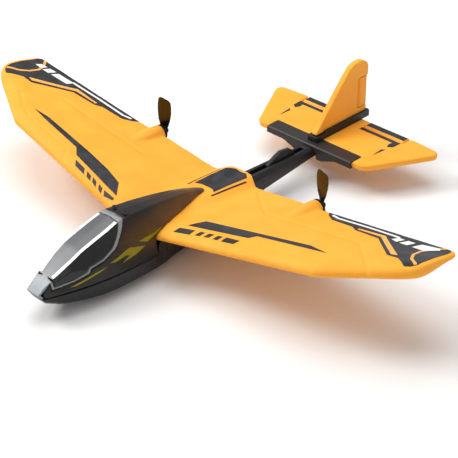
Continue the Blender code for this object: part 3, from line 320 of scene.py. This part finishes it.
def lay_film(name, outline, ground, axis, lift, finish, body="airframe", pitch=0.002):
    """Film cut to an outline and laid on a piece from above (Z) or from a side (+X or -X)."""
    points = [Vector((x, y, CLEAR_OF_PIECE)) for x, y in outline]
    if axis != "Z":
        side = 1.0 if axis == "+X" else -1.0
        points = [Vector((side * CLEAR_OF_PIECE, y, z)) for y, z in outline]
    away = {"Z": Vector((0, 0, 1)), "+X": Vector((1, 0, 0)), "-X": Vector((-1, 0, 0))}[axis]
    turn = sum((a.cross(b) for a, b in zip(points, points[1:] + points[:1])), Vector())
    if turn.dot(away) < 0:
        points.reverse()
    bpy.ops.object.select_all(action="DESELECT")
    bpy.ops.mesh.primitive_circle_add(vertices=len(points), radius=0.01, fill_type="NGON")
    sheet = bpy.context.object
    sheet.name = name
    for vertex, point in zip(sheet.data.vertices, points):
        vertex.co = point
    bpy.ops.object.mode_set(mode="EDIT")
    for k in range(3):
        if "XYZ"[k] == axis[-1]:
            continue
        low = min(point[k] for point in points)
        high = max(point[k] for point in points)
        for step in range(1, int((high - low) / pitch) + 1):
            cut = Vector()
            cut[k] = low + step * pitch
            along = Vector()
            along[k] = 1.0
            bpy.ops.mesh.select_all(action="SELECT")
            bpy.ops.mesh.bisect(plane_co=cut, plane_no=along)
    bpy.ops.mesh.select_all(action="SELECT")
    bpy.ops.mesh.quads_convert_to_tris()
    bpy.ops.object.mode_set(mode="OBJECT")
    press = sheet.modifiers.new("press", "SHRINKWRAP")
    press.wrap_method = "PROJECT"
    press.wrap_mode = "ABOVE_SURFACE"
    press.use_project_x = axis != "Z"
    press.use_project_z = axis == "Z"
    press.use_negative_direction = axis != "-X"
    press.use_positive_direction = axis == "-X"
    press.target = ground
    press.offset = lift
    bpy.ops.object.modifier_apply(modifier=press.name)
    film = sheet.modifiers.new("film", "SOLIDIFY")
    film.thickness = FILM_THICK
    film.offset = 1.0
    bpy.ops.object.modifier_apply(modifier=film.name)
    bpy.ops.object.shade_smooth_by_angle(angle=math.radians(30))
    sheet.data.materials.append(finish)
    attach(sheet, body)


LOW, HIGH = 0.14, 0.22            # how far the first and second layers of film stand off, in mm
PANEL_FILM = {
    "tip_panel": (CHARCOAL, LOW, [
        (84.3, 16.0), (87.6, 12.0), (93.4, 8.0), (110.5, 6.6), (115.2, 3.6), (134.2, 1.6), (155.6, -17.2),
        (163.6, -17.4), (173.2, -24.4), (176.6, -22.6), (179.0, -19.6), (179.9, -14.0), (180.4, -4.0),
        (180.4, 9.0), (178.6, 11.9), (141.0, 13.4)]),
    "tip_lane": (LANE, HIGH, [(115.7, 6.4), (135.8, 6.6), (161.2, -14.6), (157.0, -15.4), (134.4, 4.0),
                              (116.0, 5.0)]),
}
BAR_FILM = {
    1: {
        "dart": [(28.2, -49.0), (33.8, -38.7), (71.7, -34.9), (110.7, -30.9), (125.5, -33.9), (75.5, -38.2),
                 (73.0, -43.1)],
        "bar_a": [(60.8, -49.0), (70.9, -48.2), (69.6, -52.5), (60.5, -53.6)],
        "bar_b": [(54.9, -49.7), (58.2, -49.5), (57.5, -53.7), (54.0, -54.0)],
        "bar_c": [(48.0, -50.4), (51.7, -49.9), (50.8, -53.9), (47.1, -54.7)],
        "bar_d": [(41.6, -51.2), (45.0, -50.8), (44.1, -55.1), (40.6, -55.6)],
        "bar_e": [(26.0, -53.7), (37.2, -51.6), (37.1, -56.6), (25.2, -58.5)],
    },
    -1: {
        "dart": [(29.1, -55.2), (37.8, -45.3), (52.5, -41.5), (72.0, -38.8), (116.6, -34.7), (129.8, -36.2),
                 (115.0, -38.4), (81.2, -42.2), (75.2, -47.5)],
        "bar_a": [(61.9, -52.3), (71.9, -50.9), (68.2, -54.7), (58.3, -56.2)],
        "bar_b": [(53.9, -54.1), (58.9, -52.8), (55.7, -56.4), (51.2, -57.4)],
        "bar_c": [(47.4, -55.4), (52.2, -53.8), (49.5, -57.2), (44.6, -58.7)],
        "bar_d": [(40.4, -56.7), (44.8, -55.5), (42.3, -58.7), (38.2, -60.2)],
        "bar_e": [(28.6, -57.6), (38.5, -56.9), (35.5, -60.3), (28.2, -59.4)],
    },
}
SLASH_FILM = {
    1: [[(141.6, 4.6), (143.8, 8.8), (148.6, 8.2), (146.4, 3.0)],
        [(148.8, 2.6), (151.2, 8.2), (156.6, 7.8), (154.6, 2.2)],
        [(158.6, 1.8), (160.8, 8.4), (172.8, 9.6), (174.6, 7.0), (167.4, 0.4)]],
    -1: [[(144.6, 4.2), (142.6, 9.6), (157.2, 8.2), (159.2, 2.8)],
         [(161.4, 2.2), (159.6, 8.2), (165.2, 7.4), (166.8, 1.6)],
         [(169.0, 1.8), (167.4, 7.0), (172.6, 6.2), (174.2, 1.8)]],
}


def ribbon(line, half):
    """Outline of a strip that follows a line of points."""
    left, right = [], []
    for k, (x, y) in enumerate(line):
        (x0, y0), (x1, y1) = line[max(k - 1, 0)], line[min(k + 1, len(line) - 1)]
        long = math.hypot(x1 - x0, y1 - y0)
        across = ((y0 - y1) / long * half, (x1 - x0) / long * half)
        left.append((x + across[0], y + across[1]))
        right.append((x - across[0], y - across[1]))
    return left + right[::-1]


TIP_ARC = ribbon([(175.6, 12.0), (170.4, 6.2), (167.0, -1.2), (167.6, -8.6), (171.2, -14.8), (178.0, -20.0)],
                 half=0.9)
TIP_STRIPE = ribbon([(89.5, 13.6), (95.5, 11.6), (120.0, 11.0), (144.0, 9.4)], half=0.85)
PLATE_EDGE = [(10.95, -11.5), (12.4, 19.0), (11.3, 19.4), (9.9, -10.9)]
BOOM_PLATE = [(8.55, -7.05), (9.45, 22.4), (4.65, 26.7), (-4.65, 26.7), (-9.45, 22.4), (-8.55, -7.05),
              (-4.6, -4.3), (0.0, -3.2), (4.6, -4.3)]
WING_PITCH = 0.0022               # spacing of the cuts that let a film follow the wing


def lay_on_wing(name, outline, side, lift, finish):
    """Film on the wing's top, its outline given in mm for the port side."""
    place = [(side * x * MM, y * MM) for x, y in outline]
    lay_film(name, place, wing, "Z", lift * MM, finish, pitch=WING_PITCH)


for side, hand in ((1, "_port"), (-1, "_starboard")):
    for name, (finish, lift, outline) in PANEL_FILM.items():
        lay_on_wing(name + hand, outline, side, lift, finish)
    for name, outline in BAR_FILM[side].items():
        lay_on_wing(name + hand, outline, side, LOW, CHARCOAL)
    lay_on_wing("tip_arc" + hand, TIP_ARC, side, HIGH, LANE)
    lay_on_wing("tip_stripe" + hand, TIP_STRIPE, side, HIGH, WHITE)
    for letter, outline in zip("abc", SLASH_FILM[side]):
        lay_on_wing("tip_slash_" + letter + hand, outline, side, HIGH + 0.07, WHITE)
    lay_on_wing("plate_edge" + hand, PLATE_EDGE, side, LOW, CHARCOAL)
lay_on_wing("boom_plate", BOOM_PLATE, 1, LOW, CHARCOAL)


# ---- tail surfaces -----------------------------------------------------------------------
# The tailplane, the fin and their trim tabs are cut from the same foam as the wing, and each
# tab bends along a crease. Charcoal film covers the elevator tabs and the strip before them.
tailplane = reskin("tailplane", "foam_tailplane", "airframe", voxel=0.0006, rounds=4, finish=FOAM)
reskin("fin", "foam_fin", "airframe", voxel=0.0005, rounds=5, finish=FOAM)
for node, body in (("elevator_tab_left", "elevator_left"), ("elevator_tab_right", "elevator_right"),
                   ("rudder_tab", "rudder")):
    reskin(node, "foam_" + node, body, voxel=0.0004, rounds=2, finish=FOAM)
TAIL_BAR = [(11.5, 131.8), (40.6, 131.6), (40.0, 128.6), (41.4, 124.6), (44.8, 127.0), (45.4, 135.0),
            (11.5, 135.0)]
TAIL_CHIP = [(41.8, 109.0), (41.0, 119.2), (43.3, 121.2)]
TAB_END = 0.5 * MM                # bare foam at each end of an elevator tab
TAB_CREASE = 2.8 * MM             # bare foam along its crease
TAB_UNDERSIDE = 1.6 * MM          # and up its edge from below
for side, hand, label in ((1, "port", "left"), (-1, "starboard", "right")):
    bar = [(side * x * MM, y * MM) for x, y in TAIL_BAR]
    lay_film("tail_bar_" + hand, bar, tailplane, "Z", LOW * MM, CHARCOAL)
    chip = [(side * x * MM, y * MM) for x, y in TAIL_CHIP]
    lay_film("tail_chip_" + hand, chip, tailplane, "Z", LOW * MM, CHARCOAL, pitch=0.001)
    tab = bpy.data.objects["foam_elevator_tab_" + label]
    tab.data.materials.append(CHARCOAL)
    low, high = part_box("elevator_tab_" + label)
    for face in tab.data.polygons:
        inside = low.x + TAB_END < face.center.x < high.x - TAB_END
        above = face.center.z > low.z + TAB_UNDERSIDE
        if inside and above and face.center.y > low.y + TAB_CREASE:
            face.material_index = 1


# ---- pod ------------------------------------------------------------------------------
# Two glossy shells: a smoky upper shell that is tinted amber where it hugs the wing, and a
# black belly. Angular olive marks are printed on both flanks.
def moulded_group():
    """Moulded plastic: a slight orange-peel skin, uneven gloss and faint scuffs."""
    group, given, result = new_group(
        "moulded_plastic",
        [("Colour", "NodeSocketColor", (1, 1, 1, 1)), ("Scuff Colour", "NodeSocketColor", (1, 1, 1, 1)),
         ("Gloss Low", "NodeSocketFloat", 0.2), ("Gloss High", "NodeSocketFloat", 0.35),
         ("Grain Scale", "NodeSocketFloat", 900.0)],
        [("Colour", "NodeSocketColor"), ("Roughness", "NodeSocketFloat"), ("Height", "NodeSocketFloat")])
    place = group.nodes.new("ShaderNodeTexCoord")
    cloud = noise(group, place, 70.0, 4.0)
    fine = group.nodes.new("ShaderNodeTexNoise")
    fine.inputs["Detail"].default_value = 3.0
    group.links.new(place.outputs["Object"], fine.inputs["Vector"])
    group.links.new(given.outputs["Grain Scale"], fine.inputs["Scale"])
    share = calculate(group, "MULTIPLY", spread(group, cloud, 0.0, 0.5, 0.45, 0.8), fine.outputs["Fac"])
    group.links.new(blend_colour(group, share, given.outputs["Colour"], given.outputs["Scuff Colour"]),
                    result.inputs["Colour"])
    mix = group.nodes.new("ShaderNodeMapRange")
    group.links.new(cloud, mix.inputs["Value"])
    mix.inputs["From Min"].default_value = 0.3
    mix.inputs["From Max"].default_value = 0.7
    group.links.new(given.outputs["Gloss Low"], mix.inputs["To Min"])
    group.links.new(given.outputs["Gloss High"], mix.inputs["To Max"])
    group.links.new(mix.outputs["Result"], result.inputs["Roughness"])
    group.links.new(fine.outputs["Fac"], result.inputs["Height"])
    return group


MOULDED = moulded_group()


def moulded(name, colour, scuff, gloss, grain=900.0, bump=(0.1, 0.00004), **fixed):
    """A moulded finish; gloss gives its least and greatest roughness."""
    return material_from(name, MOULDED, {
        "Colour": (*colour, 1.0), "Scuff Colour": (*scuff, 1.0), "Gloss Low": gloss[0],
        "Gloss High": gloss[1], "Grain Scale": grain}, bump=bump, **fixed)


def dress(finish, *names):
    """Give CAD nodes a finish."""
    for name in names:
        for slot in nodes[name].material_slots:
            slot.material = finish


BELLY = moulded("belly_shell", (0.012, 0.012, 0.013), (0.025, 0.025, 0.027), (0.25, 0.36),
                specular_ior_level=0.3)
BLACK_BROWN = (0.010, 0.0085, 0.0075)
AMBER_TINT = (0.135, 0.052, 0.003)
BAND_FOOT = 19 * MM               # the amber band starts to show at this height
BAND_FULL = 30 * MM


def smoky_group():
    """Smoky shell: black brown, with an amber band on the flanks where the wing shows through."""
    group, given, result = new_group(
        "smoky_shell",
        [("Root Front", "NodeSocketFloat", -0.1), ("Root Rear", "NodeSocketFloat", -0.05),
         ("Flank Low", "NodeSocketFloat", 0.02), ("Flank High", "NodeSocketFloat", 0.04)],
        [("Colour", "NodeSocketColor"), ("Roughness", "NodeSocketFloat"), ("Height", "NodeSocketFloat")])
    place = group.nodes.new("ShaderNodeTexCoord")
    parts = group.nodes.new("ShaderNodeSeparateXYZ")
    group.links.new(place.outputs["Object"], parts.inputs["Vector"])

    def ramp(value, start, end):
        node = group.nodes.new("ShaderNodeMapRange")
        node.interpolation_type = "SMOOTHSTEP"
        group.links.new(value, node.inputs["Value"])
        group.links.new(given.outputs[start], node.inputs["From Min"])
        group.links.new(given.outputs[end], node.inputs["From Max"])
        return node.outputs["Result"]

    back = ramp(parts.outputs["Y"], "Root Front", "Root Rear")
    low = ramp(parts.outputs["Z"], "Flank High", "Flank Low")
    rise = spread(group, parts.outputs["Z"], 0.0, 1.0, BAND_FOOT, BAND_FULL)
    cloud = noise(group, place, 60.0, 4.0)
    band = calculate(group, "MULTIPLY", rise, low)
    share = calculate(group, "MULTIPLY", calculate(group, "MULTIPLY", back, band),
                      spread(group, cloud, 0.55, 1.0, 0.35, 0.65))
    group.links.new(blend_colour(group, share, BLACK_BROWN, AMBER_TINT), result.inputs["Colour"])
    group.links.new(spread(group, cloud, 0.22, 0.3, 0.3, 0.7), result.inputs["Roughness"])
    group.links.new(noise(group, place, 900.0, 3.0), result.inputs["Height"])
    return group


wing_low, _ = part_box("wing")
SMOKY = material_from(
    "smoky_shell", smoky_group(),
    {"Root Front": wing_low.y - 40 * MM, "Root Rear": wing_low.y + 6 * MM, "Flank Low": 34 * MM,
     "Flank High": 44 * MM},
    bump=(0.06, 0.00003), specular_ior_level=0.35)
OLIVE = material_from(
    "olive_film", STAMPED_FILM,
    {"Colour": (0.27, 0.22, 0.006, 1.0), "Rub Colour": (0.14, 0.115, 0.005, 1.0), "Rub": 0.5},
    bump=(0.1, 0.00005), specular_ior_level=0.2)
upper_shell = reskin("pod_upper_shell", "smoky_upper_shell", "airframe", voxel=0.00055, rounds=6,
                     finish=SMOKY)
reskin("pod_lower_shell", "gloss_lower_shell", "airframe", voxel=0.00055, rounds=6, finish=BELLY)
dress(BELLY, "power_switch", "charge_socket")
FLANK_FILM = {
    "flank_dart": [(-78.5, 29.9), (-58.6, 31.6), (-72.5, 27.4)],
    "flank_hook": [(-102.4, 25.2), (-98.1, 24.6), (-89.9, 25.4), (-86.8, 24.4), (-93.5, 21.8),
                   (-83.1, 23.2), (-74.5, 25.7), (-86.4, 28.8)],
    "flank_line": [(-129.3, 19.2), (-112.4, 22.9), (-104.2, 24.2), (-108.8, 22.4), (-125.5, 19.0)],
}
for axis, hand in (("+X", "port"), ("-X", "starboard")):
    for name, outline in FLANK_FILM.items():
        lay_film(name + "_" + hand, [(y * MM, z * MM) for y, z in outline], upper_shell, axis,
                 0.1 * MM, OLIVE, pitch=0.0015)


# ---- canopy, its frame and the nose cap ----------------------------------------------------
# A clear smoked moulding held in a light grey frame. The silver band over its top is a painted
# reflection of the overhead light, and the near-white strips along its creases are painted highlights.
# The frame and the faceted silver nose cap are painted plastic.
SMOKED_GLASS = moulded("smoked_canopy", (0.012, 0.012, 0.013), (0.03, 0.03, 0.03), (0.06, 0.1),
                       alpha=0.86, specular_ior_level=0.5)
# On the canopy this silver is a painted reflection of the overhead light; the switch slider takes the same
# material.
SILVER = moulded("silver_colour", (0.13, 0.135, 0.14), (0.2, 0.205, 0.215), (0.4, 0.48), grain=3000.0,
                 metallic=0.75)
CAP_SILVER = moulded("cap_silver_paint", (0.20, 0.215, 0.225), (0.3, 0.315, 0.33), (0.38, 0.46),
                     grain=3000.0, metallic=0.4)
# Painted highlights: near-white strips for the light caught along the canopy's creases.
CREASE_HIGHLIGHT = moulded("painted_crease_highlight", (0.9, 0.91, 0.92), (0.95, 0.95, 0.95), (0.12, 0.2), grain=3000.0,
                 metallic=0.1)
FRAME = moulded("frame_paint", (0.24, 0.25, 0.26), (0.33, 0.33, 0.34), (0.25, 0.35))
canopy = reskin("canopy", "smoked_canopy_shell", "airframe", voxel=0.0004, rounds=5,
                finish=SMOKED_GLASS)
reskin("canopy_frame", "painted_canopy_frame", "airframe", voxel=0.0004, rounds=4, finish=FRAME)
reskin("nose_cap", "silver_nose_cap", "airframe", voxel=0.00025, rounds=3, finish=CAP_SILVER)
dress(SILVER, "switch_slider")
CANOPY_EDGE = [(6.1, -136.6), (6.8, -134.0), (7.4, -129.5), (8.0, -125.0), (8.4, -118.0), (8.6, -110.0),
               (8.6, -101.5), (8.6, -95.0), (8.4, -91.0), (8.2, -88.4)]
HIGHLIGHT_INSET = 0.9 * MM             # the painted highlights run just inside the edges of the painted reflection
HIGHLIGHT_HALF = 1.05 * MM
port_edge = [(x * MM, y * MM) for x, y in CANOPY_EDGE]
starboard_edge = [(-x, y) for x, y in port_edge]
# The silver band laid over the canopy's top is a painted reflection of the overhead light.
canopy_painted_reflection = port_edge + [(0.0, -87.6 * MM)] + starboard_edge[::-1]
lay_film("canopy_painted_reflection", canopy_painted_reflection, canopy, "Z", 0.08 * MM, SILVER)
# The near-white strips along the creases are painted highlights.
for hand, edge, inset in (("port", port_edge, -HIGHLIGHT_INSET), ("starboard", starboard_edge, HIGHLIGHT_INSET)):
    highlight_strip = ribbon([(x + inset, y) for x, y in edge], HIGHLIGHT_HALF)
    lay_film("canopy_highlight_strip_" + hand, highlight_strip, canopy, "Z", 0.16 * MM, CREASE_HIGHLIGHT)


# ---- boom, tail bracket, fittings -----------------------------------------------------------
# Satin black structural plastic: the slotted boom, its fairing, the bracket that clamps the
# tailplane, the fin holder, the motor sleeves and the cockpit tub. The skid is soft rubber.
SATIN = moulded("satin_black", (0.012, 0.011, 0.012), (0.03, 0.03, 0.031), (0.32, 0.44), grain=1400.0,
                bump=(0.2, 0.00005), specular_ior_level=0.3)
BRACKET = moulded("bracket_black", (0.026, 0.021, 0.020), (0.045, 0.04, 0.04), (0.36, 0.48), grain=1400.0,
                  bump=(0.2, 0.00005), specular_ior_level=0.3)
dress(SATIN, "motor_sleeve_left", "motor_sleeve_right", "cockpit_tub")
reskin("tail_boom", "satin_boom", "airframe", voxel=0.0004, rounds=3, finish=SATIN)
reskin("boom_fairing", "satin_boom_fairing", "airframe", voxel=0.0003, rounds=3, finish=SATIN)
reskin("fin_holder", "satin_fin_holder", "airframe", voxel=0.0003, rounds=3, finish=SATIN)
reskin("tail_bracket", "satin_tail_bracket", "airframe", voxel=0.0003, rounds=3, finish=BRACKET)
RUBBER = moulded("skid_rubber_skin", (0.02, 0.02, 0.02), (0.05, 0.05, 0.05), (0.6, 0.75), grain=2500.0,
                 bump=(0.3, 0.0001))
dress(RUBBER, "battery_tape")
reskin("belly_skid", "rubber_skid", "airframe", voxel=0.0003, rounds=3, finish=RUBBER)


# ---- screws, motors and small parts ------------------------------------------------------------
# Black screws hold the spine, and plated ones the skid, the boom and the bracket. Inside are
# the plated motor cans, a foil-wrapped cell, a green board, red motor leads and a red lamp.
STEEL = moulded("plated_steel", (0.45, 0.45, 0.46), (0.3, 0.3, 0.31), (0.25, 0.4), grain=4000.0,
                metallic=1.0)
DARK_STEEL = moulded("black_screw", (0.05, 0.05, 0.052), (0.12, 0.12, 0.12), (0.3, 0.4), grain=4000.0,
                     metallic=0.8)
FOIL = moulded("cell_foil", (0.42, 0.44, 0.47), (0.6, 0.6, 0.62), (0.2, 0.45), grain=300.0,
               bump=(0.4, 0.0004), metallic=0.8)
BOARD = moulded("solder_mask", (0.015, 0.12, 0.04), (0.03, 0.2, 0.08), (0.25, 0.4), grain=600.0)
LEAD = moulded("lead_sleeve", (0.45, 0.02, 0.015), (0.3, 0.02, 0.015), (0.4, 0.55))
LAMP = moulded("lamp_lens", (0.6, 0.03, 0.02), (0.7, 0.1, 0.06), (0.08, 0.14), coat_weight=0.6)
dress(DARK_STEEL, "spine_screw_left", "spine_screw_right")
dress(STEEL, "belly_screw_front", "belly_screw_rear", "tail_screw", "motor_left", "motor_right")
dress(FOIL, "battery")
dress(BOARD, "receiver_board")
dress(LEAD, "motor_lead_left", "motor_lead_right")
dress(LAMP, "status_lamp")


# ---- propellers -------------------------------------------------------------------------------
# Two-bladed pushers, each moulded in one dark brown plastic and pressed onto its motor's shaft.
# The near-black at the blade roots and the hub is painted shade.
ROOT_PAINTED_SHADE = (0.005, 0.004, 0.004)
BLADE_DARK = (0.022, 0.013, 0.0015)
BLADE_LIGHT = (0.038, 0.025, 0.003)
SHADE_FADE_START = 0.006                 # distance from the hub where the painted shade starts to fade
SHADE_FADE_END = 0.012


def blade_group():
    """Brown plastic, with painted shade darkening it towards the hub's height."""
    group, given, result = new_group(
        "tinted_blade", [("Hub Height", "NodeSocketFloat", 0.0)],
        [("Colour", "NodeSocketColor"), ("Roughness", "NodeSocketFloat")])
    place = group.nodes.new("ShaderNodeTexCoord")
    parts = group.nodes.new("ShaderNodeSeparateXYZ")
    group.links.new(place.outputs["Object"], parts.inputs["Vector"])
    above_hub = calculate(group, "SUBTRACT", parts.outputs["Z"], given.outputs["Hub Height"])
    reach = calculate(group, "ABSOLUTE", above_hub, 0.0)
    share = spread(group, reach, 0.0, 1.0, SHADE_FADE_START, SHADE_FADE_END)
    streak = noise(group, place, 400.0, 2.0)
    blade = blend_colour(group, streak, BLADE_DARK, BLADE_LIGHT)
    group.links.new(blend_colour(group, share, ROOT_PAINTED_SHADE, blade), result.inputs["Colour"])
    group.links.new(spread(group, streak, 0.14, 0.24), result.inputs["Roughness"])
    return group


hub_low, hub_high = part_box("propeller_left")
BLADE = material_from("tinted_propeller", blade_group(), {"Hub Height": (hub_low.z + hub_high.z) / 2},
                      specular_ior_level=0.3)
for label in ("left", "right"):
    reskin("propeller_" + label, "tinted_propeller_" + label, "propeller_" + label, voxel=0.00016, rounds=3,
           finish=BLADE)
